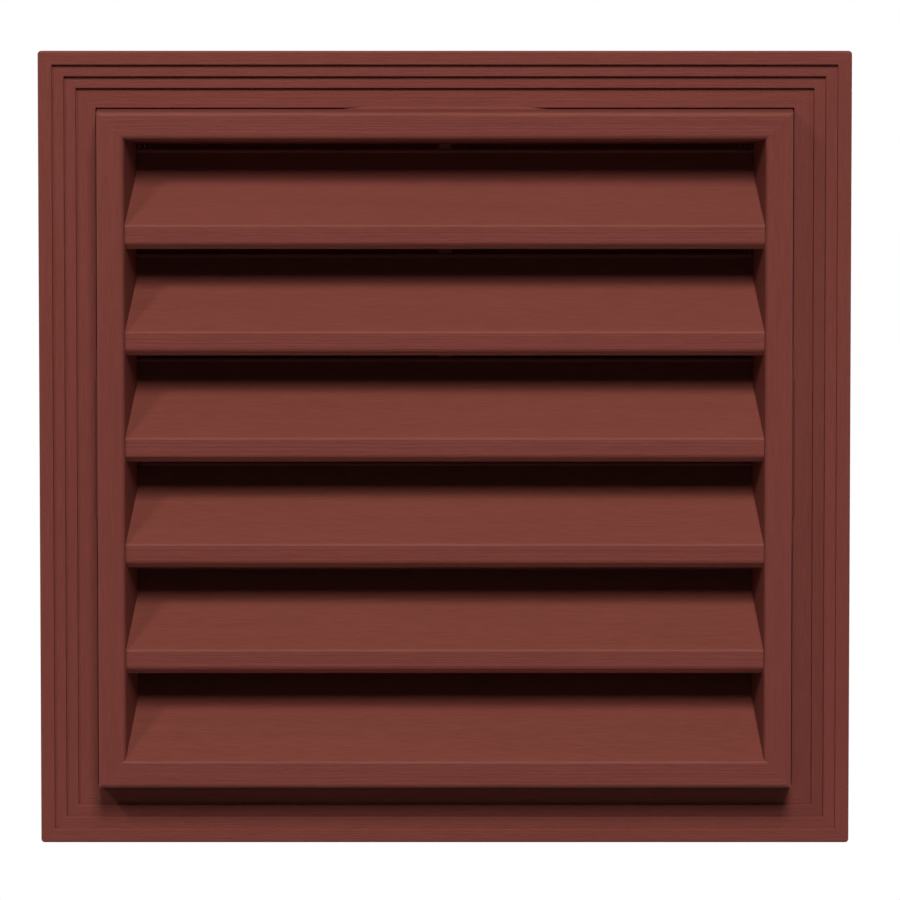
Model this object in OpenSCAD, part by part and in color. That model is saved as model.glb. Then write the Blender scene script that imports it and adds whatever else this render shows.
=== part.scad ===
// Square louvred gable vent.
// A one-piece louvre body, a stepped trim ring that snaps over it from the front,
// and an insect screen staked to the back of the body's sleeve.
// The front faces -Y and up is +Z. The origin is the centre of the nailing flange's back face,
// so the wall is the plane y = 0 and the sleeve reaches through it.

/* [Raised frame] */
// Width of the frame's face, outside edge to outside edge
frame_w = 334; // [280:1:400]
// Height of the frame's face
frame_h = 325.4; // [300:0.1:400]
// Distance of the frame's face in front of the wall
frame_stand = 46.6; // [44:0.1:60]
// Width of each stile and rail, from the outside edge to the sleeve's wall
member_w = 13.2; // [12.6:0.1:20]
// Thickness of the moulded walls
wall_t = 2.2; // [1.6:0.1:2.6]
// Draft of the frame's outer walls, widening towards the wall
outer_draft = 3.7; // [1:0.1:5]
// Rounding of the face's outside edge
outer_round = 2; // [0.6:0.1:2.2]
// Rounding of the face's inside edge
inner_round = 2.7; // [1.6:0.1:3]

/* [Sleeve] */
// How far the sleeve reaches behind the wall plane, at least
sleeve_tail = 8; // [3:0.5:20]
// How far the sleeve reaches behind the blades, at least
blade_cover = 3; // [2.4:0.1:8]
// Draft of the sleeve's sides in front of the parting line
front_draft = 6; // [2:0.5:7]
// Draft of the sleeve's sides behind the parting line
rear_draft = 6.5; // [2:0.5:8]
// Draft of the sleeve's top and bottom
top_draft = 2; // [0.5:0.1:3]
// Depth of the parting line behind the lips' faces
parting_depth = 32; // [24:1:36]

/* [Louvre blades] */
// Number of sloped blades, with the one that runs out into the bottom rail
blade_count = 6; // [5:1:7]
// Clear height from the top rail to the first lip's top edge
first_gap = 41; // [36:0.5:48]
// Slope of the blades, up towards the back
blade_slope = 37.1; // [32:0.1:40]
// Depth of a blade's slope, from its lip's face to the upstand at its back
blade_run = 46.1; // [40:0.1:52]
// Thickness of a blade and its lip
blade_t = 2.2; // [1.6:0.1:2.6]
// Height of a blade's lip
lip_h = 11.3; // [9:0.1:14]
// Distance of the lips behind the frame's face
lip_recess = 3.5; // [2.8:0.1:6]
// Height of the hem that is bent back along a lip's bottom edge
hem_h = 2.7; // [1.6:0.1:4]
// Tilt of that hem out of the upright
hem_tilt = 47; // [30:1:60]
// Rounding of the bend between a lip and its hem
lip_round = 2.4; // [0.8:0.1:2.6]
// Rounding of the edge between a lip and its slope
brow_round = 1.8; // [0.3:0.1:2.2]
// Height of the upstand that stops rain at a blade's back
upstand_h = 2.1; // [1:0.1:3]
// Drop of the last slope's edge below the opening's lower side
sill_drop = 0.8; // [0.4:0.1:0.8]
// Width of the vertical bar behind the blades
bar_w = 7; // [5:0.5:12]
// Bevel of that bar's front edges
bar_bevel = 1; // [0.4:0.1:1.4]

/* [Nailing flange] */
// Thickness of the flange
flange_t = 2.5; // [2:0.1:3.5]
// Distance of the flange's edge inside the trim ring's edge
flange_setback = 8; // [4:0.5:9]
// Radius of the flange's corners
flange_corner = 5; // [2:0.5:8]
// Diameter of the fixing holes
hole_d = 5; // [4:0.1:6]
// Distance of the hole centres from the flange's edge
hole_edge = 9; // [7:0.5:10]
// Spacing of the two middle holes along the top and the bottom
mid_pitch_x = 170; // [120:1:200]
// Spacing of the two middle holes along each side
mid_pitch_z = 170; // [120:1:200]

/* [Ribs in the frame] */
// Number of ribs along each side of the hollow frame
rib_count = 5; // [3:1:7]
// Thickness of a rib
rib_t = 1.8; // [1.2:0.1:2.4]
// Diameter of the post on each rib that carries the screen
post_d = 5; // [4.4:0.1:7]

/* [Trim ring] */
// Distance from the frame's face to the ring's outside edge, seen from the front
trim_margin = 30; // [28:0.5:36]
// Distance of the ring's front in front of the wall
trim_stand = 24.6; // [23:0.1:25.5]
// Width of the rim band
rim_band = 6.8; // [5:0.1:7.5]
// Width of each step band inside it
step_band = 5.6; // [4:0.1:6]
// Height of each step
step_drop = 2.2; // [1.2:0.1:2.4]
// Thickness of the ring's wall
trim_t = 2.2; // [1.6:0.1:2.4]
// Room for the siding between the wall and the ring's rim
siding_room = 12.7; // [9:0.1:14]
// Clearance between the ring's collar and the body's outer wall
trim_gap = 0.6; // [0.4:0.1:0.8]
// Depth of the collar, from the ledge's face
collar_d = 9; // [6:0.5:9]
// Rounding of the ring's outside front edge
rim_round = 1; // [0.5:0.1:1.6]
// Rounding of the step edges
step_round = 0.4; // [0.2:0.1:0.6]
// Radius of the ring's outside corners
rim_corner = 2; // [1:0.1:4]

/* [Snap teeth] */
// Length of the front tooth in the middle of each side
tooth_len = 70; // [40:1:110]
// Length of the ramps at both ends of the front tooth, along the top and the bottom
tooth_ramp = 14.4; // [4:0.1:20]
// Extra length of the teeth behind it, at both ends together
rack_extra = 28; // [10:1:40]
// Height of a tooth off the body's outer wall
tooth_out = 1.6; // [1.2:0.1:1.8]
// Depth of a tooth's ramp
tooth_d = 1.8; // [1.2:0.1:1.9]
// Number of teeth in a rack
tooth_count = 3; // [2:1:4]
// Play between a tooth and the ring's ledge
snap_play = 0.3; // [0.2:0.05:0.4]
// Clearance between a rack's ends and the notch in the ring's collar
notch_gap = 1.6; // [1:0.1:4]

/* [Insect screen] */
// Thickness of the screen
screen_t = 0.8; // [0.5:0.1:1.2]
// Number of gaps across the screen
screen_cols = 12; // [8:1:12]
// Number of gaps down the screen
screen_rows = 10; // [6:1:10]
// Width of a strand between two gaps
strand_w = 1.2; // [0.8:0.1:2]
// Diameter of the stakes that hold the screen
stake_d = 2.4; // [1.8:0.1:2.8]
// Diameter of a stake's head where it meets the screen
stake_head_d = 4; // [3.4:0.1:4.4]
// Height of a stake's head
stake_head_t = 0.8; // [0.5:0.1:1.2]
// Clearance round a stake in the screen's holes
stake_gap = 0.2; // [0.1:0.05:0.3]
// Clearance between the screen and a stake's head
head_gap = 0.1; // [0.05:0.05:0.3]

/* [Hidden] */

// Colours: the moulding and the screen
plastic = [0.46, 0.24, 0.21];
mesh_grey = [0.12, 0.12, 0.13];

// How far a cutting shape runs past what it cuts, how far joined shapes sink into each
// other, and the steps of a circle
over = 1;
bite = 0.5;
$fn = 48;

// Depths along Y, from the front to the back
face_y = -frame_stand;
lip_y = face_y + lip_recess;
parting_y = lip_y + parting_depth;
edge_y = lip_y + blade_run;
tail_y = max(sleeve_tail, edge_y + blade_t + blade_cover);
round_y = face_y + inner_round;

// The sleeve's clear size at the front, and its half width at the parting line and the tail
sleeve_w = frame_w - 2 * member_w;
sleeve_h = frame_h - 2 * member_w;
parting_in = parting_depth * tan(front_draft);
tail_out = (tail_y - parting_y) * tan(rear_draft);
tail_w = sleeve_w - 2 * parting_in + 2 * tail_out;
tail_h = sleeve_h - 2 * (tail_y - lip_y) * tan(top_draft);

// Heights of the blades: the last slope meets the face at the top of the sill
open_top = sleeve_h / 2;
sill_top = -sleeve_h / 2 - sill_drop;
first_lip = open_top - first_gap;
last_lip = sill_top + lip_recess * tan(blade_slope);
blade_pitch = (first_lip - last_lip) / (blade_count - 1);
blade_rise = blade_run * tan(blade_slope);

// The body's outer wall leans out by this much for each millimetre towards the wall
lean = tan(outer_draft);

// Trim ring: outside size, ledge plane and the place of its inside edge
trim_w = frame_w + 2 * trim_margin;
trim_h = frame_h + 2 * trim_margin;
step_count = 3;
ledge_y = -trim_stand + step_count * step_drop;
ledge_u = rim_band + (step_count - 1) * step_band;
collar_y = ledge_y + collar_d;

// Nailing flange
flange_w = trim_w - 2 * flange_setback;
flange_h = trim_h - 2 * flange_setback;
hole_x = flange_w / 2 - hole_edge;
hole_z = flange_h / 2 - hole_edge;

// Snap racks: the ledge sits between the first and the second tooth
tooth_pitch = trim_t + 2 * snap_play + tooth_d;
first_tooth_y = ledge_y - snap_play;
rack_len = tooth_len + rack_extra;

// Posts stand against the sleeve's walls, and the screen lies on them and on its back end
post_x = sleeve_w / 2 - parting_in + wall_t / 2 + post_d / 2;
post_z = tail_h / 2 + wall_t / 2 + post_d / 2;
screen_w = 2 * post_x + post_d;
screen_h = 2 * post_z + post_d;

// Places of the ribs along a side of the given length, and of the posts on them
function rib_row(length) = [for (i = [1:rib_count]) i * length / (rib_count + 1) - length / 2];
post_places = concat(
    [for (sz = [-1, 1], x = rib_row(sleeve_w)) [x, sz * post_z]],
    [for (sx = [-1, 1], z = rib_row(sleeve_h)) [sx * post_x, z]]
);

// Place of the body's outer wall at depth y, measured outwards from the face's edge
function wall_out(y) = (y - face_y) * lean;

// Corner rounding: the sliver between a corner p, whose edges leave it along the
// unit vectors d1 and d2, and the arc of radius r that touches both edges
module corner_sliver(p, d1, d2, r) {
    s = d1 + d2;
    bisector = s / norm(s);
    half = acos(d1 * d2) / 2;
    reach = r / tan(half);
    centre = p + bisector * r / sin(half);
    difference() {
        polygon([p + d1 * reach, p - bisector * over / 2, p + d2 * reach, centre]);
        translate(centre) circle(r = r);
    }
}

// A straight piece with the profile (u, y) along one side of a w by h rectangle, u running
// inwards from its edge, mitred at both ends. The profile's own depth range is y0 to y1.
module mitred_side(w, h, reach_in, reach_out, y0, y1) {
    intersection() {
        translate([w / 2, 0, 0])
            linear_extrude(height = h + 2 * reach_out + 2 * over, center = true)
                mirror([1, 0, 0]) children();
        translate([0, y1 + over, 0]) rotate([90, 0, 0])
            linear_extrude(height = y1 - y0 + 2 * over)
                polygon([
                    [w / 2 + reach_out, h / 2 + reach_out], [w / 2 - reach_in, h / 2 - reach_in],
                    [w / 2 - reach_in, reach_in - h / 2], [w / 2 + reach_out, -h / 2 - reach_out]
                ]);
    }
}

// The same profile on all four sides of a w by h rectangle
module mitred_frame(w, h, reach_in, reach_out, y0, y1) {
    for (turn = [0, 180]) {
        rotate([0, turn, 0]) mitred_side(w, h, reach_in, reach_out, y0, y1) children();
        rotate([0, turn - 90, 0]) mitred_side(h, w, reach_in, reach_out, y0, y1) children();
    }
}

// A flat plate in the XZ plane, from y0 to y1
module plate(y0, y1) {
    translate([0, y1, 0]) rotate([90, 0, 0]) linear_extrude(height = y1 - y0) children();
}

// A rectangle with round corners
module soft_square(w, h, r) {
    square([w, h - 2 * r], center = true);
    square([w - 2 * r, h], center = true);
    for (sx = [-1, 1], sz = [-1, 1]) translate([sx * (w / 2 - r), sz * (h / 2 - r)]) circle(r = r);
}

// Section of the hollow frame: face, drafted outer wall and the stub that meets the sleeve
module frame_section() {
    foot = wall_out(0);
    lean_dir = [-sin(outer_draft), cos(outer_draft)];
    stub_y = lip_y + wall_t;
    difference() {
        polygon([
            [0, face_y], [member_w, face_y], [member_w, stub_y], [member_w - wall_t, stub_y],
            [member_w - wall_t, face_y + wall_t], [wall_t - wall_out(face_y + wall_t), face_y + wall_t],
            [wall_t - foot, 0], [-foot, 0]
        ]);
        corner_sliver([0, face_y], [1, 0], lean_dir, outer_round);
        corner_sliver([member_w, face_y], [-1, 0], [0, 1], inner_round);
    }
}

// Half of the sleeve's plan, from the centre line to its right wall moved out by grow
function sleeve_half(grow) = [
    [sleeve_w / 2 + grow, round_y],
    [sleeve_w / 2 + grow, lip_y],
    [sleeve_w / 2 - parting_in + grow, parting_y],
    [tail_w / 2 + grow, tail_y]
];

// Half of the sleeve's side view, from the centre line to its top wall moved out by grow
function sleeve_rise(grow) = [
    [round_y, sleeve_h / 2 + grow],
    [lip_y, sleeve_h / 2 + grow],
    [tail_y, tail_h / 2 + grow]
];

// A closed outline from half of one, mirrored by the signs sx and sz
function mirrored(half, sx, sz) =
    concat(half, [for (i = [len(half) - 1:-1:0]) [sx * half[i][0], sz * half[i][1]]]);

// Plan of the sleeve, moved out by grow on both sides
module sleeve_plan(grow) {
    polygon(mirrored(sleeve_half(grow), -1, 1));
}

// A section in (y, z) drawn out along X, width w
module along_x(w) {
    rotate([90, 0, 90]) linear_extrude(height = w, center = true) children();
}

// The sleeve's solid form, moved out by grow, without the air's way in and out
module sleeve_block(grow) {
    intersection() {
        linear_extrude(height = sleeve_h + 2 * grow, center = true) sleeve_plan(grow);
        along_x(sleeve_w + 2 * grow) polygon(mirrored(sleeve_rise(grow), 1, -1));
    }
}

// The air's way through the frame and the sleeve, moved out by grow
module air_way(grow) {
    sleeve_block(grow);
    plate(face_y, lip_y) square([sleeve_w + 2 * grow, sleeve_h + 2 * grow], center = true);
    plate(tail_y - bite / 10, tail_y + over)
        square([tail_w + 2 * grow, tail_h + 2 * grow], center = true);
}

// The sleeve: four walls, the sides drafted both ways from the parting line
module sleeve() {
    difference() {
        sleeve_block(wall_t);
        air_way(0);
    }
}

// The back part of a blade's section: an upstand with a round brow, from the point foot
// on the slope's surface
module upstand_section(foot) {
    down = blade_t / cos(blade_slope);
    top = foot[1] + upstand_h;
    back = foot[0] + blade_t;
    round_r = min(upstand_h, blade_t) - bite / 4;
    difference() {
        polygon([
            [foot[0], top], [back, top], [back, foot[1] + blade_t * tan(blade_slope) - down],
            [foot[0] - blade_t, foot[1] - blade_t * tan(blade_slope) - down],
            [foot[0] - blade_t, foot[1] - blade_t * tan(blade_slope)], foot
        ]);
        corner_sliver([foot[0], top], [1, 0], [0, -1], round_r);
    }
}

// Section of a blade in (y, z), with the lip's top front edge at the origin and a hem that
// turns the drips back from the lip's bottom edge
module blade_section() {
    up = [cos(blade_slope), sin(blade_slope)];
    down = blade_t / cos(blade_slope);
    foot = [blade_run, blade_rise];
    bend = [0, hem_h - lip_h];
    back = [sin(hem_tilt), -cos(hem_tilt)];
    across = [cos(hem_tilt), sin(hem_tilt)];
    tip = bend + back * hem_h / cos(hem_tilt);
    upstand_section(foot);
    difference() {
        polygon([
            [0, 0], foot, [foot[0], foot[1] - down], [blade_t, blade_t * tan(blade_slope) - down],
            [blade_t, bend[1] + blade_t * tan(hem_tilt / 2)], tip + across * blade_t, tip, bend
        ]);
        corner_sliver([0, 0], up, [0, -1], brow_round);
        corner_sliver(bend, [0, 1], back, lip_round);
    }
}

// Section of the last blade, which runs out flush with the frame's face
module sill_section() {
    up = [cos(blade_slope), sin(blade_slope)];
    down = blade_t / cos(blade_slope);
    foot = [blade_run, blade_rise];
    front = [-lip_recess, -lip_recess * tan(blade_slope)];
    inside = [wall_t - lip_recess, front[1] + wall_t * tan(blade_slope) - down];
    low_z = -sleeve_h / 2 - inner_round - bite - last_lip;
    upstand_section(foot);
    difference() {
        polygon([
            front, foot, [foot[0], foot[1] - down], inside, [inside[0], low_z], [-lip_recess, low_z]
        ]);
        corner_sliver(front, up, [0, -1], brow_round);
    }
}

// All blades, cut off inside the sleeve's side walls
module blades() {
    intersection() {
        for (i = [0:blade_count - 2])
            translate([0, lip_y, first_lip - i * blade_pitch]) along_x(sleeve_w + wall_t) blade_section();
        linear_extrude(height = sleeve_h, center = true) sleeve_plan(wall_t / 2);
    }
    intersection() {
        translate([0, lip_y, last_lip]) along_x(frame_w) sill_section();
        linear_extrude(height = frame_h, center = true) {
            sleeve_plan(wall_t / 2);
            sill_x = sleeve_w / 2 + inner_round + bite;
            translate([-sill_x, face_y]) square([2 * sill_x, inner_round]);
        }
    }
}

// One tooth in the middle of the right side, its steep face at depth y. Each end slopes
// down over the length given as ramp.
module tooth(y, length, ramp) {
    root = frame_w / 2 + wall_out(y - tooth_d) - wall_t / 2;
    crest = frame_w / 2 + wall_out(y) + tooth_out;
    wall = frame_w / 2 + wall_out(y);
    end = length / 2;
    intersection() {
        linear_extrude(height = length, center = true)
            polygon([[root, y - tooth_d], [wall, y - tooth_d], [crest, y], [root, y]]);
        plate(y - tooth_d - over, y + over) polygon([
            [root - over, end], [wall, end], [crest, end - ramp],
            [crest, ramp - end], [wall, -end], [root - over, -end]
        ]);
    }
}

// A rack on the right side: one tooth before the ring's ledge and the others behind it
module rack(front_len, ramp) {
    tooth(first_tooth_y, front_len, ramp);
    for (i = [1:tooth_count - 1]) tooth(first_tooth_y + i * tooth_pitch, rack_len, tooth_out);
}

// Racks on all four sides: the top and bottom walls stand at another distance
module racks() {
    rise = (frame_h - frame_w) / 2;
    for (turn = [0, 180]) {
        rotate([0, turn, 0]) rack(tooth_len, tooth_out);
        rotate([0, turn - 90, 0]) translate([rise, 0, 0])
            rack(tooth_len + 2 * tooth_ramp, tooth_ramp);
    }
}

// Ribs across the hollow of the two stiles
module stile_ribs() {
    wall = sleeve_half(wall_t / 2);
    front_y = face_y + wall_t / 2;
    back_y = -flange_t / 2;
    outer_x = frame_w / 2 - wall_t / 2;
    for (side = [0, 180], z = rib_row(sleeve_h))
        rotate([0, side, 0]) translate([0, 0, z])
            linear_extrude(height = rib_t, center = true) polygon([
                [sleeve_w / 2 + inner_round, front_y], wall[0], wall[1], wall[2],
                [wall[2][0] + (back_y - parting_y) * tan(rear_draft), back_y],
                [outer_x + wall_out(back_y), back_y], [outer_x + wall_out(front_y), front_y]
            ]);
}

// Ribs across the hollow of the two rails
module rail_ribs() {
    front_y = face_y + wall_t / 2;
    back_y = -flange_t / 2;
    wall_z = sleeve_h / 2 + wall_t / 2;
    back_z = wall_z - (back_y - lip_y) * tan(top_draft);
    outer_z = frame_h / 2 - wall_t / 2;
    for (side = [0, 180], x = rib_row(sleeve_w))
        rotate([0, side, 0]) translate([x, 0, 0])
            along_x(rib_t) polygon([
                [front_y, sleeve_h / 2 + inner_round], [round_y, wall_z], [lip_y, wall_z],
                [back_y, back_z],
                [back_y, outer_z + wall_out(back_y)], [front_y, outer_z + wall_out(front_y)]
            ]);
}

// Posts on the ribs, from the frame's face to the sleeve's back end, kept out of the air's way
module posts() {
    front_y = face_y + wall_t - bite;
    difference() {
        for (p = post_places) translate([p[0], front_y, p[1]])
            rotate([-90, 0, 0]) cylinder(d = post_d, h = tail_y - front_y);
        air_way(wall_t / 2);
    }
}

// Stakes on the posts, with their heads pressed flat behind the screen
module stakes() {
    head_y = tail_y + screen_t + head_gap;
    for (p = post_places) translate([p[0], 0, p[1]]) {
        translate([0, tail_y - bite, 0]) rotate([-90, 0, 0])
            cylinder(d = stake_d, h = head_y + bite - tail_y + bite);
        translate([0, head_y, 0]) rotate([-90, 0, 0])
            cylinder(d1 = stake_head_d, d2 = stake_d, h = stake_head_t);
    }
}

// Vertical bar that joins the blades behind their upstands
module back_bar() {
    front_y = edge_y + blade_t - bite;
    half = bar_w / 2;
    linear_extrude(height = tail_h + wall_t, center = true) polygon([
        [half, tail_y], [half, front_y + bar_bevel], [half - bar_bevel, front_y],
        [bar_bevel - half, front_y], [-half, front_y + bar_bevel], [-half, tail_y]
    ]);
}

// Centres of the fixing holes: corners, then the middle pairs
hole_places = concat(
    [for (sx = [-1, 1], sz = [-1, 1]) [sx * hole_x, sz * hole_z]],
    [for (sx = [-1, 1], sz = [-1, 1]) [sx * mid_pitch_x / 2, sz * hole_z]],
    [for (sx = [-1, 1], sz = [-1, 1]) [sx * hole_x, sz * mid_pitch_z / 2]]
);

// Nailing flange round the body's foot
module flange() {
    foot = wall_out(0) - wall_t / 2;
    difference() {
        plate(-flange_t, 0) difference() {
            soft_square(flange_w, flange_h, flange_corner);
            square([frame_w + 2 * foot, frame_h + 2 * foot], center = true);
        }
        for (p = hole_places)
            translate([p[0], over, p[1]]) rotate([90, 0, 0]) cylinder(d = hole_d, h = flange_t + 2 * over);
    }
}

module vent_body() {
    color(plastic) {
        mitred_frame(frame_w, frame_h, member_w + over, wall_out(0) + over, face_y, 0) frame_section();
        sleeve();
        blades();
        back_bar();
        racks();
        stile_ribs();
        rail_ribs();
        posts();
        stakes();
        flange();
    }
}

// Section of the trim ring: rim, steps, ledge and collar, u running inwards from its edge
module trim_section() {
    edge = trim_margin - wall_out(ledge_y) - trim_gap;
    collar_end = trim_margin - wall_out(collar_y) - trim_gap;
    front = -trim_stand;
    steps = [for (i = [1:step_count]) rim_band + (i - 1) * step_band];
    face = [for (i = [0:step_count - 1], j = [0, 1]) [steps[i], front + (i + j) * step_drop]];
    under = [for (i = [step_count - 1:-1:0], j = [1, 0])
        [steps[i] - trim_t, front + trim_t + (i + j) * step_drop]];
    difference() {
        polygon(concat(
            [[0, -siding_room], [0, front]], face,
            [[edge, ledge_y], [collar_end, collar_y], [collar_end - trim_t, collar_y],
             [edge - trim_t, ledge_y + trim_t]],
            under, [[trim_t, front + trim_t], [trim_t, -siding_room]]
        ));
        corner_sliver([0, front], [1, 0], [0, 1], rim_round);
        corner_sliver([edge, ledge_y], [-1, 0], [-sin(outer_draft), cos(outer_draft)], step_round);
        for (i = [0:step_count - 1])
            corner_sliver([steps[i], front + i * step_drop], [-1, 0], [0, 1], step_round);
    }
}

// Notches in the collar, where it passes the racks
module collar_notches() {
    length = rack_len + 2 * notch_gap;
    reach = wall_out(collar_y) + trim_gap + trim_t + over;
    for (turn = [0, 180]) {
        rotate([0, turn, 0]) translate([frame_w / 2, ledge_y + trim_t, -length / 2])
            cube([reach, collar_d, length]);
        rotate([0, turn - 90, 0]) translate([frame_h / 2, ledge_y + trim_t, -length / 2])
            cube([reach, collar_d, length]);
    }
}

module trim_ring() {
    back_y = max(collar_y, -siding_room);
    color(plastic) difference() {
        intersection() {
            mitred_frame(trim_w, trim_h, trim_margin + over, over, -trim_stand, back_y) trim_section();
            plate(-trim_stand - over, back_y + over) soft_square(trim_w, trim_h, rim_corner);
        }
        collar_notches();
    }
}

module insect_screen() {
    gap_w = (tail_w - (screen_cols - 1) * strand_w) / screen_cols;
    gap_h = (tail_h - (screen_rows - 1) * strand_w) / screen_rows;
    color(mesh_grey) difference() {
        plate(tail_y, tail_y + screen_t) difference() {
            square([screen_w, screen_h], center = true);
            for (i = [0:screen_cols - 1], j = [0:screen_rows - 1])
                translate([i * (gap_w + strand_w) - tail_w / 2, j * (gap_h + strand_w) - tail_h / 2])
                    square([gap_w, gap_h]);
        }
        for (p = post_places) translate([p[0], tail_y - over, p[1]]) rotate([-90, 0, 0])
            cylinder(d = stake_d + 2 * stake_gap, h = screen_t + 2 * over);
    }
}

vent_body();
trim_ring();
insect_screen();
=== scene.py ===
"""Square louvred wall vent in moulded plastic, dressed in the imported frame.

The louvred body and the trim ring are the CAD solids, which get a moulded
plastic with an embossed wood grain. The insect screen is modelled here as a
border with a woven mesh, in the place of its plain CAD solid.
"""

import logging
import math
from collections.abc import Callable
from dataclasses import dataclass
from enum import Enum

import bpy
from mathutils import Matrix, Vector


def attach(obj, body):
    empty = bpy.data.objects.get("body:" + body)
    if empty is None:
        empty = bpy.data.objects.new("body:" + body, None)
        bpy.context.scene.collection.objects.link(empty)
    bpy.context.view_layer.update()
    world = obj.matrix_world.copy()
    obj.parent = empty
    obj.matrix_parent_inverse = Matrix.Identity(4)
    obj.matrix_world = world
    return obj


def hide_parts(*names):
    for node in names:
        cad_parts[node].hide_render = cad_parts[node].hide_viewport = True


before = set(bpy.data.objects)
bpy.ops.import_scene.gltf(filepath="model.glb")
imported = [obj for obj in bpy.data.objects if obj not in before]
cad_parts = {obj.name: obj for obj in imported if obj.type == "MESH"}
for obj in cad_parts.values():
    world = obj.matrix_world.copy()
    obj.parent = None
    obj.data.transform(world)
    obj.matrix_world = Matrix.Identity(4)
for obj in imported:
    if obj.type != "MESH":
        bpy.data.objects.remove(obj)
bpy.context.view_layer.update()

LOG = logging.getLogger("vent")

Colour = tuple[float, float, float]
Place = tuple[float, float, float]
Pair = tuple[float, float]

FACE_FRONT = (math.pi / 2, 0.0, 0.0)
FACE_SIDE = (0.0, math.pi / 2, 0.0)


class GrainLayout(Enum):
    """Where the wood grain turns on a moulding."""

    RING = "upright on the sides, level on the top and the bottom"
    LOUVRED_FRAME = "as on the ring, and level on every blade"


class Strand(Enum):
    """The two directions in a woven mesh."""

    WEFT = "level"
    WARP = "upright"


# Node tools and shared node groups


class Sketch:
    """Adds nodes to a tree and joins them, one column after another.

    The last three numbers are the places of the colour sockets on a Mix node,
    whose names also stand for other kinds of value.
    """

    COLUMNS = 9
    COLUMN_STEP = 180
    ROW_STEP = -240
    COLOUR_A = 6
    COLOUR_B = 7
    MIXED_COLOUR = 2

    def __init__(self, tree: bpy.types.NodeTree) -> None:
        """Keeps the tree.

        Args:
            tree: the node tree that the nodes go into.
        """
        self.tree = tree
        self.count = 0

    def node(self, kind: str, **settings: object) -> bpy.types.Node:
        """Adds one node.

        Args:
            kind: the node's type name.
            **settings: properties to set on it.

        Returns:
            The new node.
        """
        made = self.tree.nodes.new(kind)
        for name, value in settings.items():
            setattr(made, name, value)
        row, column = divmod(self.count, self.COLUMNS)
        made.location = (self.COLUMN_STEP * column, self.ROW_STEP * row)
        self.count += 1
        return made

    def put(self, socket: bpy.types.NodeSocket, value: object) -> None:
        """Links an output to a socket, or writes a plain value on it.

        Args:
            socket: the socket.
            value: the output or the value.
        """
        if isinstance(value, bpy.types.NodeSocket):
            self.tree.links.new(value, socket)
        else:
            socket.default_value = value

    def math(self, operation: str, *values: object) -> bpy.types.NodeSocket:
        """Adds a Math node.

        Args:
            operation: the node's operation.
            *values: one to three numbers or outputs.

        Returns:
            The node's output.
        """
        made = self.node("ShaderNodeMath", operation=operation)
        for socket, value in zip(made.inputs, values):
            self.put(socket, value)
        return made.outputs[0]

    def weighted(self, *parts: tuple[object, object]) -> bpy.types.NodeSocket:
        """Adds up values, each times its weight.

        Args:
            *parts: pairs of a value and its weight.

        Returns:
            The sum.
        """
        products = [self.math("MULTIPLY", value, weight) for value, weight in parts]
        total = products[0]
        for product in products[1:]:
            total = self.math("ADD", total, product)
        return total

    def stretched(self, vector: object, factors: Place) -> bpy.types.NodeSocket:
        """Multiplies a vector by one factor for each axis.

        Args:
            vector: the vector.
            factors: the three factors.

        Returns:
            The stretched vector.
        """
        made = self.node("ShaderNodeVectorMath", operation="MULTIPLY")
        self.put(made.inputs[0], vector)
        self.put(made.inputs[1], factors)
        return made.outputs[0]

    def split(self, vector: object) -> bpy.types.bpy_prop_collection:
        """Splits a vector.

        Args:
            vector: the vector.

        Returns:
            Its outputs X, Y and Z.
        """
        made = self.node("ShaderNodeSeparateXYZ")
        self.put(made.inputs[0], vector)
        return made.outputs

    def combine(self, *values: object) -> bpy.types.NodeSocket:
        """Makes a vector.

        Args:
            *values: three numbers or outputs.

        Returns:
            The vector.
        """
        made = self.node("ShaderNodeCombineXYZ")
        for socket, value in zip(made.inputs, values):
            self.put(socket, value)
        return made.outputs[0]

    def ramp(
        self, value: object, low: float, high: float, to_low: float = 0.0, to_high: float = 1.0
    ) -> bpy.types.NodeSocket:
        """Maps one range onto another, smoothly and clamped.

        Args:
            value: the number to map.
            low: start of the range that it comes from.
            high: end of that range.
            to_low: what low becomes.
            to_high: what high becomes.

        Returns:
            The mapped number.
        """
        made = self.node("ShaderNodeMapRange", interpolation_type="SMOOTHSTEP")
        for name, number in (
            ("Value", value),
            ("From Min", low),
            ("From Max", high),
            ("To Min", to_low),
            ("To Max", to_high),
        ):
            self.put(made.inputs[name], number)
        return made.outputs["Result"]

    def noise(
        self, vector: object, scale: float, detail: float = 1.0, rough: float = 0.5
    ) -> bpy.types.NodeSocket:
        """Adds a Noise Texture.

        Args:
            vector: the place to read it at.
            scale: cells per unit.
            detail: number of octaves.
            rough: how strong the fine octaves are.

        Returns:
            Its height, about 0.5 on average.
        """
        made = self.node("ShaderNodeTexNoise")
        self.put(made.inputs["Vector"], vector)
        self.put(made.inputs["Scale"], scale)
        self.put(made.inputs["Detail"], detail)
        self.put(made.inputs["Roughness"], rough)
        return made.outputs["Fac"]

    def mix(
        self, factor: object, first: object, second: object, blend: str = "MIX"
    ) -> bpy.types.NodeSocket:
        """Mixes two colours, each an output or three plain numbers.

        Args:
            factor: how much the second colour counts.
            first: the first colour.
            second: the second colour.
            blend: the way they are mixed.

        Returns:
            The mixed colour.
        """
        made = self.node("ShaderNodeMix", data_type="RGBA", blend_type=blend)
        self.put(made.inputs["Factor"], factor)
        for index, colour in ((self.COLOUR_A, first), (self.COLOUR_B, second)):
            self.put(made.inputs[index], (*colour, 1.0) if isinstance(colour, tuple) else colour)
        return made.outputs[self.MIXED_COLOUR]

    def relief(self, height: bpy.types.NodeSocket) -> bpy.types.NodeSocket:
        """Turns a height into a normal.

        Args:
            height: the height in metres.

        Returns:
            The normal.
        """
        made = self.node("ShaderNodeBump")
        self.put(made.inputs["Strength"], 1.0)
        self.put(made.inputs["Distance"], 1.0)
        self.put(made.inputs["Height"], height)
        return made.outputs[0]

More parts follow.
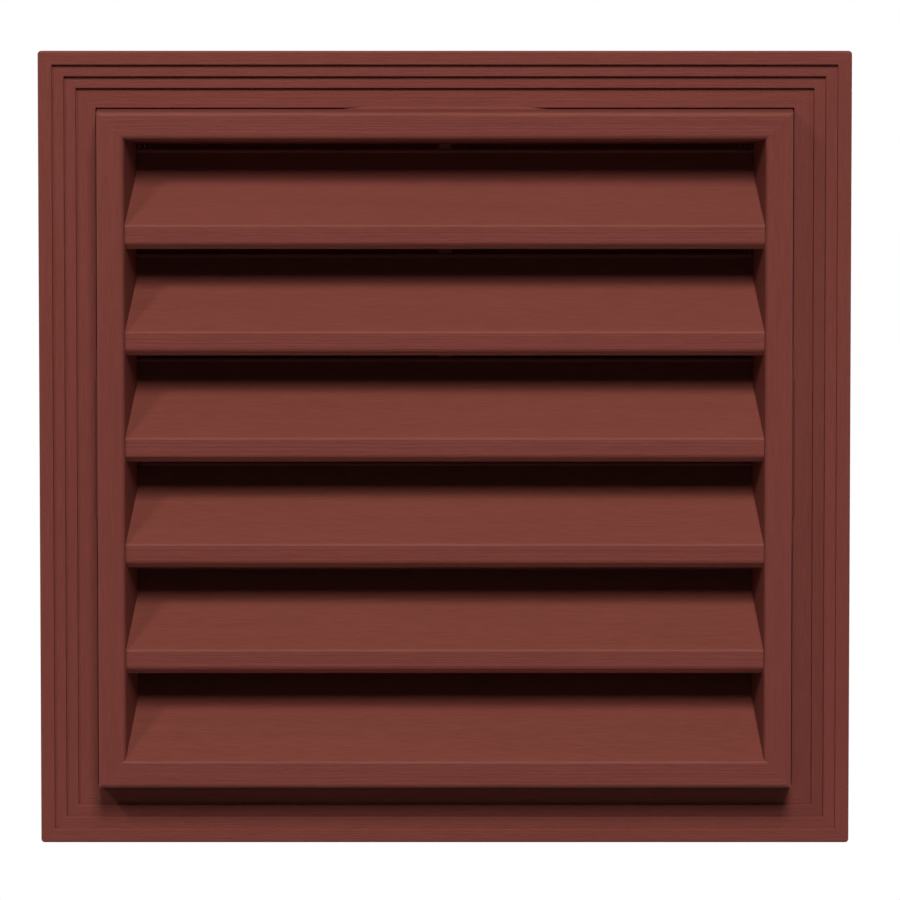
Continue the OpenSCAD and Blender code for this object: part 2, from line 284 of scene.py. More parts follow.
    def shader(self, kind: str, values: dict[str, object]) -> bpy.types.NodeSocket:
        """Adds a shader.

        Args:
            kind: the shader's type name.
            values: numbers or outputs by the name of their socket.

        Returns:
            The shader's output.
        """
        made = self.node(kind)
        for name, value in values.items():
            self.put(made.inputs[name], value)
        return made.outputs[0]

    def mix_shader(self, factor: object, first: object, second: object) -> bpy.types.NodeSocket:
        """Mixes two shaders.

        Args:
            factor: how much the second shader counts.
            first: the first shader.
            second: the second shader.

        Returns:
            The mixed shader.
        """
        made = self.node("ShaderNodeMixShader")
        for socket, value in zip(made.inputs, (factor, first, second)):
            self.put(socket, value)
        return made.outputs[0]

    def close(self, kind: str, shader: bpy.types.NodeSocket) -> None:
        """Links a shader to the tree's output, of the given type."""
        self.put(self.node(kind).inputs["Surface"], shader)


class NodeGroups:
    """The shader node groups that the finishes share, each built once.

    A range is the lowest and the highest value of a ramp. For slopes, crests
    and side walls that is the normal's part along an axis, and for the upper
    creases a height. A stretch is along the grain, then twice across it.
    """

    FACING = "slopes and crests"
    FRONT_RANGE = (0.2, 0.4)
    SLOPE_RANGE = (0.66, 0.76)
    CREST_RANGE = (0.06, 0.2)

    GRAIN = "embossed wood grain"
    DRIFT_SCALE = 22.0
    DRIFT = 0.0014
    FIBRE_DETAIL = 2.0
    FIBRE_ROUGH = 0.6
    STREAK_STRETCH = (0.03, 0.9, 0.9)
    PORE_STRETCH = (3.0, 1.2, 1.2)
    PORE_RANGE = (0.34, 0.5)
    BAND_STRETCH = (0.1, 0.13, 0.13)
    FIBRE_HEIGHT = 0.44
    PORE_HEIGHT = 0.16
    BAND_HEIGHT = 0.14
    FIBRE_TONE = 0.75
    BAND_TONE = 0.25

    MITRE = "mitred sides"
    UPPER_RANGE = (-0.1, 0.1)
    LOWER_CREASE = 0.25
    SIDE_NORMAL = 0.8

    @staticmethod
    def _start(name: str, inputs: dict[str, str], outputs: dict[str, str]) -> tuple:
        """Makes an empty group.

        Args:
            name: the group's name.
            inputs: socket type of each input by name.
            outputs: socket type of each output by name.

        Returns:
            The group, a sketch on it, its inputs and its output node.
        """
        group = bpy.data.node_groups.new(name, "ShaderNodeTree")
        for label, kind in inputs.items():
            group.interface.new_socket(label, in_out="INPUT", socket_type=kind)
        for label, kind in outputs.items():
            group.interface.new_socket(label, in_out="OUTPUT", socket_type=kind)
        s = Sketch(group)
        return group, s, s.node("NodeGroupInput").outputs, s.node("NodeGroupOutput")

    @classmethod
    def mitre(cls) -> bpy.types.NodeTree:
        """Tells the upright sides of a mitred frame from its level ones.

        The crease is the line at each corner, fainter at the lower corners.

        Returns:
            A group with the masks Upright, Crease and Side Wall.
        """
        if cls.MITRE in bpy.data.node_groups:
            return bpy.data.node_groups[cls.MITRE]
        group, s, given, end = cls._start(
            cls.MITRE,
            {
                "Position": "NodeSocketVector",
                "Offset": "NodeSocketFloat",
                "Half Width": "NodeSocketFloat",
                "Half Height": "NodeSocketFloat",
                "Crease Width": "NodeSocketFloat",
            },
            {
                "Upright": "NodeSocketFloat",
                "Crease": "NodeSocketFloat",
                "Side Wall": "NodeSocketFloat",
            },
        )
        place = s.split(given["Position"])
        x = s.math("ABSOLUTE", place["X"])
        z = s.math("ABSOLUTE", place["Z"])
        across = s.math("SUBTRACT", s.math("SUBTRACT", x, z), given["Offset"])
        inside = s.math(
            "MULTIPLY",
            s.math("LESS_THAN", x, given["Half Width"]),
            s.math("LESS_THAN", z, given["Half Height"]),
        )
        outside = s.math("SUBTRACT", 1.0, inside)
        upright = s.math("GREATER_THAN", across, 0.0)
        s.put(end.inputs["Upright"], s.math("MULTIPLY", upright, outside))
        distance = s.math("DIVIDE", s.math("ABSOLUTE", across), given["Crease Width"])
        line = s.math("MULTIPLY", s.ramp(distance, 0.0, 1.0, 1.0, 0.0), outside)
        upper = s.ramp(place["Z"], *cls.UPPER_RANGE, cls.LOWER_CREASE, 1.0)
        s.put(end.inputs["Crease"], s.math("MULTIPLY", line, upper))
        normal = s.split(s.node("ShaderNodeNewGeometry").outputs["True Normal"])
        sideways = s.math("GREATER_THAN", s.math("ABSOLUTE", normal["X"]), cls.SIDE_NORMAL)
        s.put(end.inputs["Side Wall"], s.math("MULTIPLY", sideways, inside))
        return group

    @classmethod
    def facing(cls) -> bpy.types.NodeTree:
        """Finds the sloped faces and the rounded crests that look up and forward.

        Returns:
            A group with the masks Slope and Crest, which place the painted light on the slopes
            and the painted highlight on the crests; the slope mask also thins the streaks.
        """
        if cls.FACING in bpy.data.node_groups:
            return bpy.data.node_groups[cls.FACING]
        group, s, _, end = cls._start(
            cls.FACING, {}, {"Slope": "NodeSocketFloat", "Crest": "NodeSocketFloat"}
        )
        normal = s.split(s.node("ShaderNodeNewGeometry").outputs["True Normal"])
        front = s.ramp(s.math("MULTIPLY", normal["Y"], -1.0), *cls.FRONT_RANGE)
        slope = s.ramp(normal["Z"], *cls.SLOPE_RANGE)
        s.put(end.inputs["Slope"], s.math("MULTIPLY", slope, front))
        below_slope = s.ramp(normal["Z"], *cls.SLOPE_RANGE, 1.0, 0.0)
        rising = s.math("MULTIPLY", s.ramp(normal["Z"], *cls.CREST_RANGE), below_slope)
        s.put(end.inputs["Crest"], s.math("MULTIPLY", rising, front))
        return group

    @classmethod
    def grain(cls) -> bpy.types.NodeTree:
        """Wood grain along one direction, of fibres, streaks, pores and bands.

        Returns:
            A group with the outputs Height and Tone, both about 0.5 on average.
        """
        if cls.GRAIN in bpy.data.node_groups:
            return bpy.data.node_groups[cls.GRAIN]
        group, s, given, end = cls._start(
            cls.GRAIN,
            {
                "Position": "NodeSocketVector",
                "Upright": "NodeSocketFloat",
                "Along": "NodeSocketFloat",
                "Across": "NodeSocketFloat",
                "Streaks": "NodeSocketFloat",
            },
            {"Height": "NodeSocketFloat", "Tone": "NodeSocketFloat"},
        )
        x, y, z = s.split(given["Position"])
        level = s.math("SUBTRACT", 1.0, given["Upright"])
        along = s.weighted((x, level), (z, given["Upright"]))
        across = s.weighted((z, level), (x, given["Upright"]))
        drift = s.noise(s.combine(along, across, y), cls.DRIFT_SCALE)
        bend = s.math("MULTIPLY", s.math("SUBTRACT", drift, 0.5), cls.DRIFT)
        fine = s.combine(
            s.math("MULTIPLY", along, given["Along"]),
            s.math("MULTIPLY", s.math("ADD", across, bend), given["Across"]),
            s.math("MULTIPLY", y, given["Across"]),
        )
        fibres = s.noise(fine, 1.0, cls.FIBRE_DETAIL, cls.FIBRE_ROUGH)
        streaks = s.noise(s.stretched(fine, cls.STREAK_STRETCH), 1.0)
        pores = s.ramp(s.noise(s.stretched(fine, cls.PORE_STRETCH), 1.0), *cls.PORE_RANGE)
        bands = s.noise(s.stretched(fine, cls.BAND_STRETCH), 1.0)
        height = s.math(
            "ADD",
            s.weighted((fibres, cls.FIBRE_HEIGHT), (streaks, given["Streaks"])),
            s.weighted((pores, cls.PORE_HEIGHT), (bands, cls.BAND_HEIGHT)),
        )
        s.put(end.inputs["Height"], height)
        s.put(end.inputs["Tone"], s.weighted((fibres, cls.FIBRE_TONE), (bands, cls.BAND_TONE)))
        return group


# Finishes


def blank_material(name: str) -> tuple[bpy.types.Material, Sketch]:
    """Makes a material with an empty node tree.

    Args:
        name: the material's name.

    Returns:
        The material and a sketch on its tree.
    """
    made = bpy.data.materials.new(name)
    made.use_nodes = True
    made.node_tree.nodes.clear()
    return made, Sketch(made.node_tree)


@dataclass(frozen=True)
class GrainedPlastic:
    """Matte plastic moulded in colour, with an embossed wood grain.

    Slopes that face up get a painted light and the rounded crests that face up
    and forward a painted highlight, both as lightened colour; slopes have no long
    streaks. Along and across are cells per metre. The opening is half the width
    and half the height inside the louvred frame, where the grain is level. The
    creases are the fine lines at the mitred corners.
    """

    name: str
    layout: GrainLayout
    deep: Colour = (0.152, 0.037, 0.028)
    pale: Colour = (0.176, 0.045, 0.035)
    tone_range: Pair = (0.3, 0.7)
    grain_share: float = 0.8
    cloud_share: float = 0.2
    cloud_scale: float = 9.0
    cloud_detail: float = 2.0
    roughness: float = 0.6
    valley_rougher: float = 0.06
    ridge_smoother: float = 0.04
    height_range: Pair = (0.2, 0.8)
    specular: float = 0.06
    emboss: float = 0.00025
    along: float = 90.0
    across: float = 1150.0
    streaks: float = 1.0
    turn_offset: float = 0.0043
    opening: Pair = (0.1538, 0.1495)
    crease_width: float = 0.0006
    crease_height: float = 0.00006
    crease_tone: float = 0.35
    crease_lift: float = 1.25
    slope_grain: float = 1.1
    # Painted light: factors that lighten the slopes facing up towards the lamps.
    slope_painted_light: Colour = (1.11, 1.18, 1.12)
    # Painted highlight: factors that lighten the rounded crests facing up and forward.
    crest_painted_highlight: Colour = (1.22, 1.38, 1.3)

    def material(self) -> bpy.types.Material:
        """Builds the node material.

        Returns:
            The material.
        """
        made, s = blank_material(self.name)
        place = s.node("ShaderNodeTexCoord").outputs["Object"]
        louvred = self.layout is GrainLayout.LOUVRED_FRAME
        half_width, half_height = self.opening if louvred else (0.0, 0.0)
        mitre = self.group(
            s,
            NodeGroups.mitre(),
            {
                "Position": place,
                "Offset": self.turn_offset,
                "Half Width": half_width,
                "Half Height": half_height,
                "Crease Width": self.crease_width,
            },
        )
        facing = self.group(s, NodeGroups.facing(), {})
        flat = s.math("SUBTRACT", 1.0, facing["Slope"])
        grain = self.group(
            s,
            NodeGroups.grain(),
            {
                "Position": place,
                "Upright": mitre["Upright"],
                "Along": self.along,
                "Across": self.across,
                "Streaks": s.math("MULTIPLY", flat, self.streaks),
            },
        )
        calm = s.math("MULTIPLY", facing["Slope"], 1.0 - self.slope_grain)
        carved = s.math("SUBTRACT", s.math("SUBTRACT", 1.0, mitre["Side Wall"]), calm)
        height = s.weighted(
            (s.math("MULTIPLY", grain["Height"], carved), self.emboss),
            (mitre["Crease"], self.crease_height),
        )
        rough, smooth = self.roughness + self.valley_rougher, self.roughness - self.ridge_smoother
        plastic = s.shader(
            "ShaderNodeBsdfPrincipled",
            {
                "Base Color": self.tinted(s, place, grain, facing, mitre),
                "Roughness": s.ramp(grain["Height"], *self.height_range, rough, smooth),
                "Specular IOR Level": self.specular,
                "Normal": s.relief(height),
            },
        )
        s.close("ShaderNodeOutputMaterial", plastic)
        return made

    @staticmethod
    def group(
        s: Sketch, tree: bpy.types.NodeTree, values: dict[str, object]
    ) -> bpy.types.bpy_prop_collection:
        """Places a shared node group.

        Args:
            s: sketch on the material's tree.
            tree: the group.
            values: numbers or outputs by the name of their input.

        Returns:
            The group's outputs.
        """
        made = s.node("ShaderNodeGroup", node_tree=tree)
        for name, value in values.items():
            s.put(made.inputs[name], value)
        return made.outputs

    def tinted(
        self,
        s: Sketch,
        place: bpy.types.NodeSocket,
        grain: bpy.types.bpy_prop_collection,
        facing: bpy.types.bpy_prop_collection,
        mitre: bpy.types.bpy_prop_collection,
    ) -> bpy.types.NodeSocket:
        """Builds the plastic's colour, with a painted light on the up-facing slopes and a painted
        highlight on the crests.

        Args:
            s: sketch on the material's tree.
            place: the object's own coordinates.
            grain: outputs of the grain group.
            facing: outputs of the group for slopes and crests.
            mitre: outputs of the group for mitred sides.

        Returns:
            The colour.
        """
        cloud = s.noise(place, self.cloud_scale, self.cloud_detail)
        tone = s.weighted((grain["Tone"], self.grain_share), (cloud, self.cloud_share))
        colour = s.mix(s.ramp(tone, *self.tone_range), self.deep, self.pale)
        # Painted light: slopes that face up are made lighter in colour.
        colour = s.mix(facing["Slope"], colour, self.slope_painted_light, "MULTIPLY")
        # Painted highlight: crests that face up and forward are made lighter in colour.
        colour = s.mix(facing["Crest"], colour, self.crest_painted_highlight, "MULTIPLY")
        crease = s.math("MULTIPLY", mitre["Crease"], self.crease_tone)
        return s.mix(crease, colour, tuple(self.crease_lift * part for part in self.pale))


@dataclass(frozen=True)
class CoatedMesh:
    """Dark coated glass thread, matte, with a slightly uneven coat."""

    name: str = "coated screen thread"
    colour: Colour = (0.0052, 0.0052, 0.006)
    worn: Colour = (0.011, 0.011, 0.0125)
    grit_scale: float = 900.0
    grit_detail: float = 2.0
    grit_rough: float = 0.6
    grit_height: float = 0.00003
    grit_range: Pair = (0.3, 0.7)
    patch_scale: float = 30.0
    patch_detail: float = 2.0
    roughness: float = 0.55
    worn_rougher: float = 0.15
    specular: float = 0.3

    def material(self) -> bpy.types.Material:
        """Builds the node material.

        Returns:
            The material.
        """
        made, s = blank_material(self.name)
        place = s.node("ShaderNodeTexCoord").outputs["Object"]
        grit = s.noise(place, self.grit_scale, self.grit_detail, self.grit_rough)
        patch = s.noise(place, self.patch_scale, self.patch_detail)
        rough = self.roughness + self.worn_rougher
        thread = s.shader(
            "ShaderNodeBsdfPrincipled",
            {
                "Base Color": s.mix(s.math("MULTIPLY", grit, patch), self.colour, self.worn),
                "Roughness": s.ramp(grit, *self.grit_range, self.roughness, rough),
                "Specular IOR Level": self.specular,
                "Normal": s.relief(s.math("MULTIPLY", grit, self.grit_height)),
            },
        )
        s.close("ShaderNodeOutputMaterial", thread)
        return made


@dataclass(frozen=True)
class PaleFloor:
    """Pale studio floor, clear from below, that fades into the white and keeps the shadow.

    The lift is its own glow where it is seen. The bounce is its colour to the
    rays that light the object.
    """

    name: str = "pale studio floor"
    colour: Colour = (0.8, 0.8, 0.8)
    bounce: Colour = (0.12, 0.12, 0.12)
    lift: float = 0.55
    fade_from: float = 0.7
    fade_to: float = 1.15

    def material(self) -> bpy.types.Material:
        """Builds the node material.

        Returns:
            The material.
        """
        made, s = blank_material(self.name)
        place = s.node("ShaderNodeTexCoord").outputs["Object"]
        reach = s.node("ShaderNodeVectorMath", operation="LENGTH")
        s.put(reach.inputs[0], s.stretched(place, (1.0, 1.0, 0.0)))
        fade = s.ramp(reach.outputs["Value"], self.fade_from, self.fade_to)
        dim = s.shader("ShaderNodeBsdfDiffuse", {"Color": (*self.bounce, 1.0)})
        lit = s.node("ShaderNodeAddShader")
        s.put(lit.inputs[0], s.shader("ShaderNodeBsdfDiffuse", {"Color": (*self.colour, 1.0)}))
        s.put(lit.inputs[1], s.shader("ShaderNodeEmission", {"Strength": self.lift}))
        white = s.shader("ShaderNodeEmission", {"Strength": 1.0})
        seen = s.mix_shader(fade, lit.outputs[0], white)
        clear_from_behind(s, s.mix_shader(seen_rays(s), dim, seen))
        return made


@dataclass(frozen=True)
class PaintedShadeCard:
    """Painted shade: a dark, red-tinted card, clear from behind, that stands for the unlit hole
    in a wall.
    """

    name: str = "black backing card"
    # Painted shade: the red tint stands in for the reddish shade in the slots.
    colour: Colour = (0.12, 0.002, 0.002)

    def material(self) -> bpy.types.Material:
        """Builds the node material.

        Returns:
            The material.
        """
        made, s = blank_material(self.name)
        clear_from_behind(s, s.shader("ShaderNodeBsdfDiffuse", {"Color": (*self.colour, 1.0)}))
        return made


def clear_from_behind(s: Sketch, front: bpy.types.NodeSocket) -> None:
    """Closes a material that is clear on the back of its faces.

    Args:
        s: sketch on the material's tree.
        front: the shader of the front.
    """
    back = s.node("ShaderNodeNewGeometry").outputs["Backfacing"]
    sided = s.mix_shader(back, front, s.shader("ShaderNodeBsdfTransparent", {}))
    s.close("ShaderNodeOutputMaterial", sided)


def seen_rays(s: Sketch) -> bpy.types.NodeSocket:
    """Tells rays that show the white background from those that light the object.

    Args:
        s: sketch on the tree that asks.

    Returns:
        1 for camera, glossy and transmission rays, else 0.
    """
    rays = s.node("ShaderNodeLightPath").outputs
    glossy = s.math("MAXIMUM", rays["Is Glossy Ray"], rays["Is Transmission Ray"])
    return s.math("MAXIMUM", rays["Is Camera Ray"], glossy)


# Hand modelling


class Bench:
    """Short forms of the modelling operators."""

    DOUBLE_GAP = 1e-6

    @staticmethod
    def clear() -> None:
        """Leaves edit mode and deselects everything."""
        if bpy.context.object and bpy.context.object.mode != "OBJECT":
            bpy.ops.object.mode_set(mode="OBJECT")
        bpy.ops.object.select_all(action="DESELECT")

    @staticmethod
    def hold(obj: bpy.types.Object) -> None:
        """Makes one object the only selected and the active one.

        Args:
            obj: the object.
        """
        Bench.clear()
        obj.select_set(True)
        bpy.context.view_layer.objects.active = obj

    @staticmethod
    def open_whole(obj: bpy.types.Object) -> None:
        """Opens one object in edit mode with its whole mesh selected.

        Args:
            obj: the object.
        """
        Bench.hold(obj)
        bpy.ops.object.mode_set(mode="EDIT")
        bpy.ops.mesh.select_all(action="SELECT")

    @staticmethod
    def close() -> None:
        """Goes back to object mode."""
        bpy.ops.object.mode_set(mode="OBJECT")

    @staticmethod
    def pick(obj: bpy.types.Object, kind: str, test: Callable[[Vector], bool]) -> None:
        """Selects vertices or faces by their place and enters edit mode.

        Args:
            obj: the object.
            kind: VERT or FACE.
            test: function of a place that tells which are wanted.
        """
        Bench.open_whole(obj)
        bpy.ops.mesh.select_all(action="DESELECT")
        Bench.close()
        bpy.context.tool_settings.mesh_select_mode = (kind == "VERT", False, kind == "FACE")
        parts = obj.data.vertices if kind == "VERT" else obj.data.polygons
        for part in parts:
            part.select = bool(test(part.co if kind == "VERT" else part.center))
        bpy.ops.object.mode_set(mode="EDIT")

    @staticmethod
    def apply(obj: bpy.types.Object, kind: str, **settings: object) -> None:
        """Adds a modifier and applies it.

        Args:
            obj: the object.
            kind: the modifier's type.
            **settings: properties to set on it.
        """
        Bench.hold(obj)
        modifier = obj.modifiers.new(kind.lower(), kind)
        for name, value in settings.items():
            setattr(modifier, name, value)
        bpy.ops.object.modifier_apply(modifier=modifier.name)

    @staticmethod
    def repeat(obj: bpy.types.Object, count: int, step: Place, **settings: object) -> None:
        """Repeats an object's mesh at even steps.

        Args:
            obj: the object.
            count: how often the mesh is there in the end.
            step: the way from one to the next.
            **settings: further properties of the modifier.
        """
        Bench.apply(
            obj,
            "ARRAY",
            count=count,
            use_relative_offset=False,
            use_constant_offset=True,
            constant_offset_displace=step,
            **settings,
        )

    @staticmethod
    def turn(angle: float, axis: str, centre: Place) -> None:
        """Turns what is selected in edit mode.

        Args:
            angle: the angle.
            axis: X, Y or Z.
            centre: the place that the axis passes through.
        """
        bpy.ops.transform.rotate(
            value=angle, orient_axis=axis, orient_type="GLOBAL", center_override=centre
        )

    @staticmethod
    def settle(obj: bpy.types.Object) -> None:
        """Puts the object's origin at the world's, with its place in its mesh."""
        Bench.hold(obj)
        bpy.ops.object.transform_apply(location=True, rotation=True, scale=True)

    @staticmethod
    def outward(obj: bpy.types.Object) -> None:
        """Merges doubles and turns all faces outwards.

        Args:
            obj: the object.
        """
        Bench.open_whole(obj)
        bpy.ops.mesh.remove_doubles(threshold=Bench.DOUBLE_GAP)
        bpy.ops.mesh.normals_make_consistent(inside=False)
        Bench.close()

    @staticmethod
    def join(first: bpy.types.Object, *others: bpy.types.Object) -> bpy.types.Object:
        """Joins meshes into the first one.

        Args:
            first: the object that stays.
            *others: the objects that go into it.

        Returns:
            The joined object.
        """
        Bench.hold(first)
        for other in others:
            other.select_set(True)
        bpy.ops.object.join()
        return first


# The pieces


@dataclass
class Moulding:
    """A moulding that is the CAD solid, dressed in its plastic."""

    node: str
    finish: GrainedPlastic

    def build(self) -> bpy.types.Object:
        """Dresses the CAD solid.

        Returns:
            The dressed object.
        """
        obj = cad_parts[self.node]
        obj.data.materials.clear()
        obj.data.materials.append(self.finish.material())
        return obj


@dataclass
class VentBody(Moulding):
    """The louvred moulding: frame, sleeve, six blades, flange and ribs."""

    node: str = "vent_body"
    finish: GrainedPlastic = GrainedPlastic("body plastic", GrainLayout.LOUVRED_FRAME)


@dataclass
class TrimRing(Moulding):
    """The stepped surround that clips over the body."""

    node: str = "trim_ring"
    finish: GrainedPlastic = GrainedPlastic(
        "ring plastic", GrainLayout.RING, streaks=0.6, crease_height=0.00001, crease_tone=0.08
    )


@dataclass
class InsectScreen:
    """A woven mesh in a plain border, held by stakes at the back of the sleeve.

    The mesh size is that of the border's opening. The strands run on into the
    border and end a little inside its outer edge.
    """

    node: str = "insect_screen"
    slot: str = "screen_mesh"
    width: float = 0.31307
    height: float = 0.3076
    mesh_width: float = 0.30527
    mesh_height: float = 0.29542
    middle_y: float = 0.0086
    border_t: float = 0.0008
    edge_bevel: float = 0.00015
    edge_steps: int = 2
    smooth_angle: float = 35.0
    pitch: float = 0.0025
    strand_r: float = 0.00017
    strand_sides: int = 4
    strand_margin: float = 0.0012
    weld_gap: float = 1e-5
    swing: float = 0.00016
    hole_r: float = 0.0014
    hole_sides: int = 20
    pin_length: float = 0.0032
    post_x: float = 0.15404
    post_z: float = 0.15131
    row_x: tuple[float, ...] = (-0.10253, -0.05127, 0.0, 0.05127, 0.10253)
    row_z: tuple[float, ...] = (-0.09967, -0.04983, 0.0, 0.04983, 0.09967)
    finish: CoatedMesh = CoatedMesh()

    def build(self) -> list[bpy.types.Object]:
        """Models the border and the two sets of strands.

        Returns:
            The border, the weft and the warp.
        """
        material = self.finish.material()
        border = self.border()
        pieces = [border, self.strands(Strand.WEFT), self.strands(Strand.WARP)]
        for piece in pieces:
            piece.data.materials.clear()
            piece.data.materials.append(material)
            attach(piece, "root")
        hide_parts(self.node)
        return pieces

    def border(self) -> bpy.types.Object:
        """Models the border with its holes for the stakes.

        Returns:
            The border.
        """
        Bench.clear()
        bpy.ops.mesh.primitive_plane_add(
            size=1.0, location=(0, self.middle_y, 0), rotation=FACE_FRONT
        )
        piece = bpy.context.object
        piece.name = "screen_border"
        piece.scale = (self.width, self.height, 1.0)
        Bench.settle(piece)
        Bench.pick(piece, "FACE", lambda p: True)
        bpy.ops.mesh.inset(thickness=(self.width - self.mesh_width) / 2)
        stretch = self.mesh_height / (self.height - self.width + self.mesh_width)
        bpy.ops.transform.resize(value=(1, 1, stretch))
        bpy.ops.mesh.delete(type="FACE")
        Bench.close()
        Bench.apply(piece, "SOLIDIFY", thickness=self.border_t, offset=0.0)
        Bench.apply(
            piece, "BEVEL", width=self.edge_bevel, segments=self.edge_steps, limit_method="ANGLE"
        )
        punch = self.punch()
        Bench.apply(piece, "BOOLEAN", object=punch, operation="DIFFERENCE", solver="EXACT")
        bpy.data.objects.remove(punch)
        Bench.outward(piece)
        Bench.hold(piece)
        bpy.ops.object.shade_smooth_by_angle(angle=math.radians(self.smooth_angle))
        return piece

    def punch(self) -> bpy.types.Object:
        """Models the pins that cut the holes for the stakes.

        Returns:
            All pins in one mesh.
        """
        places = [(x, side * self.post_z) for side in (-1, 1) for x in self.row_x]
        places += [(side * self.post_x, z) for side in (-1, 1) for z in self.row_z]
        pins = []
        for x, z in places:
            Bench.clear()
            bpy.ops.mesh.primitive_cylinder_add(
                vertices=self.hole_sides,
                radius=self.hole_r,
                depth=self.pin_length,
                location=(x, self.middle_y, z),
                rotation=FACE_FRONT,
            )
            pins.append(bpy.context.object)
        punch = Bench.join(*pins)
        Bench.settle(punch)
        return punch

    def strands(self, kind: Strand) -> bpy.types.Object:
        """Models one set of strands, which pass over and under the other set.

        One wave of a strand is modelled, repeated along the strand and closed
        at both ends. Its neighbour is the same strand turned over. The pair
        is then repeated across the mesh.

        Args:
            kind: the set's direction.

        Returns:
            The strands as one mesh.
        """
        count_x, count_z = (
            2 * int((side / 2 - self.strand_margin) / self.pitch) - 1
            for side in (self.width, self.height)
        )
        level = kind is Strand.WEFT
        crossings, strands = (count_x, count_z) if level else (count_z, count_x)
        middle = (0, self.middle_y, 0)
        even = self.strand(crossings)
        Bench.hold(even)
        bpy.ops.object.duplicate()
        odd = bpy.context.object
        Bench.open_whole(odd)
        Bench.turn(math.pi, "X", middle)
        bpy.ops.transform.translate(value=(0, 0, self.pitch))
        Bench.close()
        for obj, number in ((even, (strands + 1) // 2), (odd, (strands - 1) // 2)):
            Bench.repeat(obj, number, (0, 0, 2 * self.pitch))
        piece = Bench.join(even, odd)
        Bench.open_whole(piece)
        bpy.ops.transform.translate(value=(0, 0, -(strands - 1) / 2 * self.pitch))
        if not level:
            Bench.turn(math.pi / 2, "Y", middle)
        Bench.close()
        piece.name = "screen_weft" if level else "screen_warp"
        piece.data.name = piece.name
        return piece

    def strand(self, crossings: int) -> bpy.types.Object:
        """Models one strand along X, through the middle of the screen.

        Args:
            crossings: number of strands that it crosses, an odd number.

        Returns:
            The strand, closed at both ends.
        """
        start = -(crossings + 1) / 2 * self.pitch
        middle = start + self.pitch / 2
        Bench.clear()
        bpy.ops.mesh.primitive_cylinder_add(
            vertices=self.strand_sides,
            radius=self.strand_r,
            depth=self.pitch,
            end_fill_type="NOTHING",
            location=(middle, self.middle_y, 0),
            rotation=FACE_SIDE,
        )
        piece = bpy.context.object
        Bench.settle(piece)
        Bench.pick(piece, "VERT", lambda p: p.x < middle)
        bpy.ops.transform.translate(value=(0, self.swing, 0))
        Bench.pick(piece, "VERT", lambda p: p.x > middle)
        bpy.ops.transform.translate(value=(0, -self.swing, 0))
        bpy.ops.mesh.extrude_region_move(
            TRANSFORM_OT_translate={"value": (self.pitch, 2 * self.swing, 0)}
        )
        Bench.close()
        Bench.repeat(
            piece,
            (crossings + 1) // 2,
            (2 * self.pitch, 0, 0),
            use_merge_vertices=True,
            merge_threshold=self.weld_gap,
        )
        for end in (start, -start):
            Bench.pick(piece, "VERT", lambda p, end=end: abs(p.x - end) < self.pitch / 4)
            bpy.ops.mesh.edge_face_add()
            Bench.close()
        Bench.outward(piece)
        return piece


# Studio and camera


@dataclass(frozen=True)
class Softbox:
    """One rectangular lamp that looks at the object."""

    name: str
    place: Place
    size: Pair
    level: float
    aim: Place = (0.0, 0.0, 0.0)

    def build(self) -> bpy.types.Object:
        """Adds the lamp. Its level is the light on a plain surface that faces it.

        Returns:
            The lamp.
        """
        gap = Vector(self.place) - Vector(self.aim)
        data = bpy.data.lights.new(self.name, "AREA")
        data.shape = "RECTANGLE"
        data.size, data.size_y = self.size
        data.energy = self.level * math.pi**2 * gap.length_squared
        lamp = bpy.data.objects.new(self.name, data)
        lamp.location = self.place
        lamp.rotation_euler = gap.to_track_quat("Z", "Y").to_euler()
        bpy.context.scene.collection.objects.link(lamp)
        return lamp


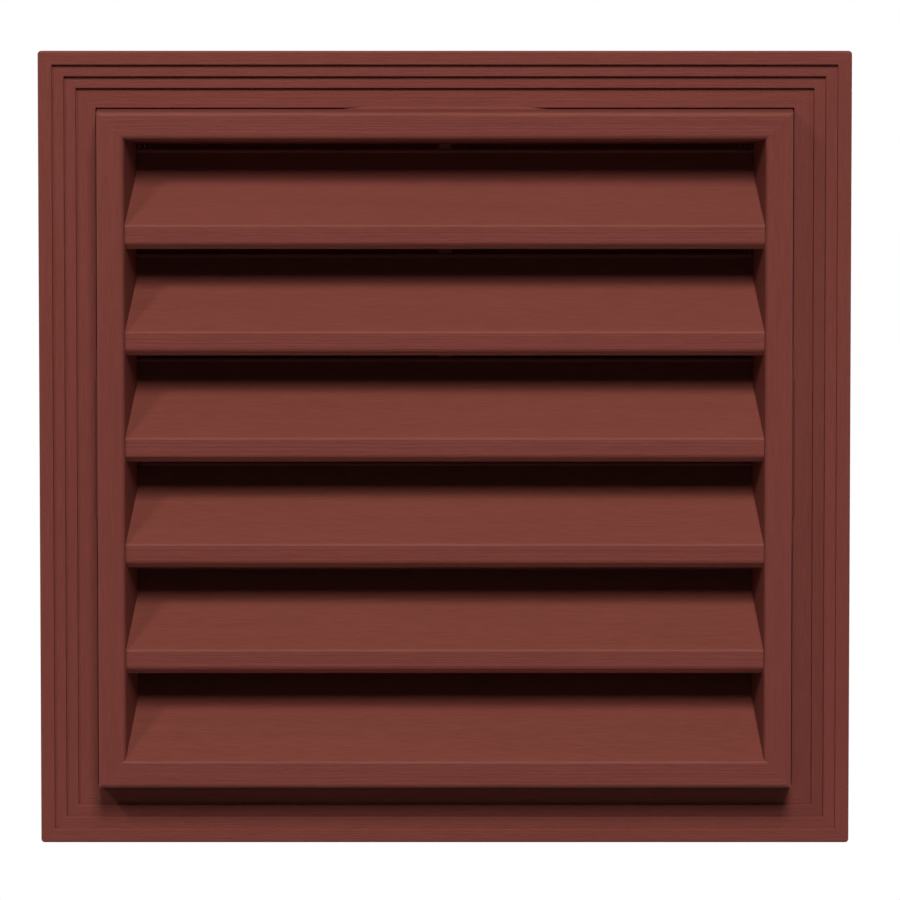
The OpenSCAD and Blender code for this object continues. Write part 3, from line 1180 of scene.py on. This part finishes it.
@dataclass
class Studio:
    """Floor, a painted shade card behind the sleeve, lamps and the white round them.

    The fill is the strength of the world for the rays that light the object.
    """

    floor_z: float = -0.46
    floor_r: float = 1.2
    floor_sides: int = 64
    card_size: Pair = (0.312, 0.306)
    card_y: float = 0.0112
    fill: float = 0.015
    lamps: tuple[Softbox, ...] = (
        Softbox("main softbox", (0.2, -3.26, 2.12), (0.96, 1.4), 0.85),
        Softbox("left softbox", (-1.28, -1.95, 1.4), (0.3, 0.3), 0.205),
        Softbox("front softbox", (0.0, -3.0, 0.1), (0.8, 0.8), 0.045),
        Softbox("left side softbox", (-2.5, 0.3, 0.5), (1.0, 1.2), 0.35),
        Softbox("right side softbox", (2.5, 0.3, 0.5), (1.0, 1.2), 0.35),
        Softbox("back softbox", (0.9, 2.3, 0.7), (1.4, 1.2), 1.0),
    )

    def build(self) -> None:
        """Adds everything that isn't part of the object."""
        self.floor()
        self.card()
        for lamp in self.lamps:
            lamp.build()
        self.surround()

    def floor(self) -> bpy.types.Object:
        """Adds the floor well below the vent, which hangs on its wall.

        Returns:
            The floor.
        """
        Bench.clear()
        bpy.ops.mesh.primitive_circle_add(
            vertices=self.floor_sides,
            radius=self.floor_r,
            fill_type="NGON",
            location=(0, 0, self.floor_z),
        )
        floor = bpy.context.object
        floor.name = "studio_floor"
        Bench.settle(floor)
        floor.data.materials.append(PaleFloor().material())
        return floor

    def card(self) -> bpy.types.Object:
        """Adds the painted shade card that stands for the dark hole behind the vent.

        Returns:
            The card, which faces the front.
        """
        Bench.clear()
        bpy.ops.mesh.primitive_plane_add(
            size=1.0, location=(0, self.card_y, 0), rotation=FACE_FRONT
        )
        card = bpy.context.object
        card.name = "backing_card"
        card.scale = (*self.card_size, 1.0)
        Bench.settle(card)
        card.data.materials.append(PaintedShadeCard().material())
        return card

    def surround(self) -> None:
        """Makes the world white to the camera and a dim fill to the object."""
        world = bpy.data.worlds.new("studio")
        bpy.context.scene.world = world
        world.use_nodes = True
        world.node_tree.nodes.clear()
        s = Sketch(world.node_tree)
        strength = s.ramp(seen_rays(s), 0.0, 1.0, self.fill, 1.0)
        white = (1.0, 1.0, 1.0, 1.0)
        light = s.shader("ShaderNodeBackground", {"Color": white, "Strength": strength})
        s.close("ShaderNodeOutputWorld", light)


@dataclass
class PhotoCamera:
    """The camera at the photograph's view: in front and slightly above."""

    place: Place = (0.0025, -2.172, 0.140)
    down: float = 3.07
    shift: float = -0.0584
    lens: float = 177.2
    sensor: float = 36.0
    near: float = 0.05
    far: float = 20.0

    def build(self) -> bpy.types.Object:
        """Adds the camera and makes it the scene's.

        Returns:
            The camera.
        """
        data = bpy.data.cameras.new("photo camera")
        data.lens, data.sensor_width, data.shift_y = self.lens, self.sensor, self.shift
        data.clip_start, data.clip_end = self.near, self.far
        camera = bpy.data.objects.new("photo camera", data)
        camera.location = self.place
        camera.rotation_euler = (math.radians(90 - self.down), 0.0, 0.0)
        bpy.context.scene.collection.objects.link(camera)
        bpy.context.scene.camera = camera
        return camera


def main() -> None:
    """Builds every class in order and reports each piece."""
    logging.basicConfig(level=logging.INFO, format="%(name)s: %(message)s")
    bpy.context.scene.view_settings.view_transform = "Standard"
    PhotoCamera().build()
    LOG.info("%s dressed", VentBody().build().name)
    LOG.info("%s dressed", TrimRing().build().name)
    for piece in InsectScreen().build():
        LOG.info("%s modelled, %d faces", piece.name, len(piece.data.polygons))
    Studio().build()


if __name__ == "__main__":
    main()
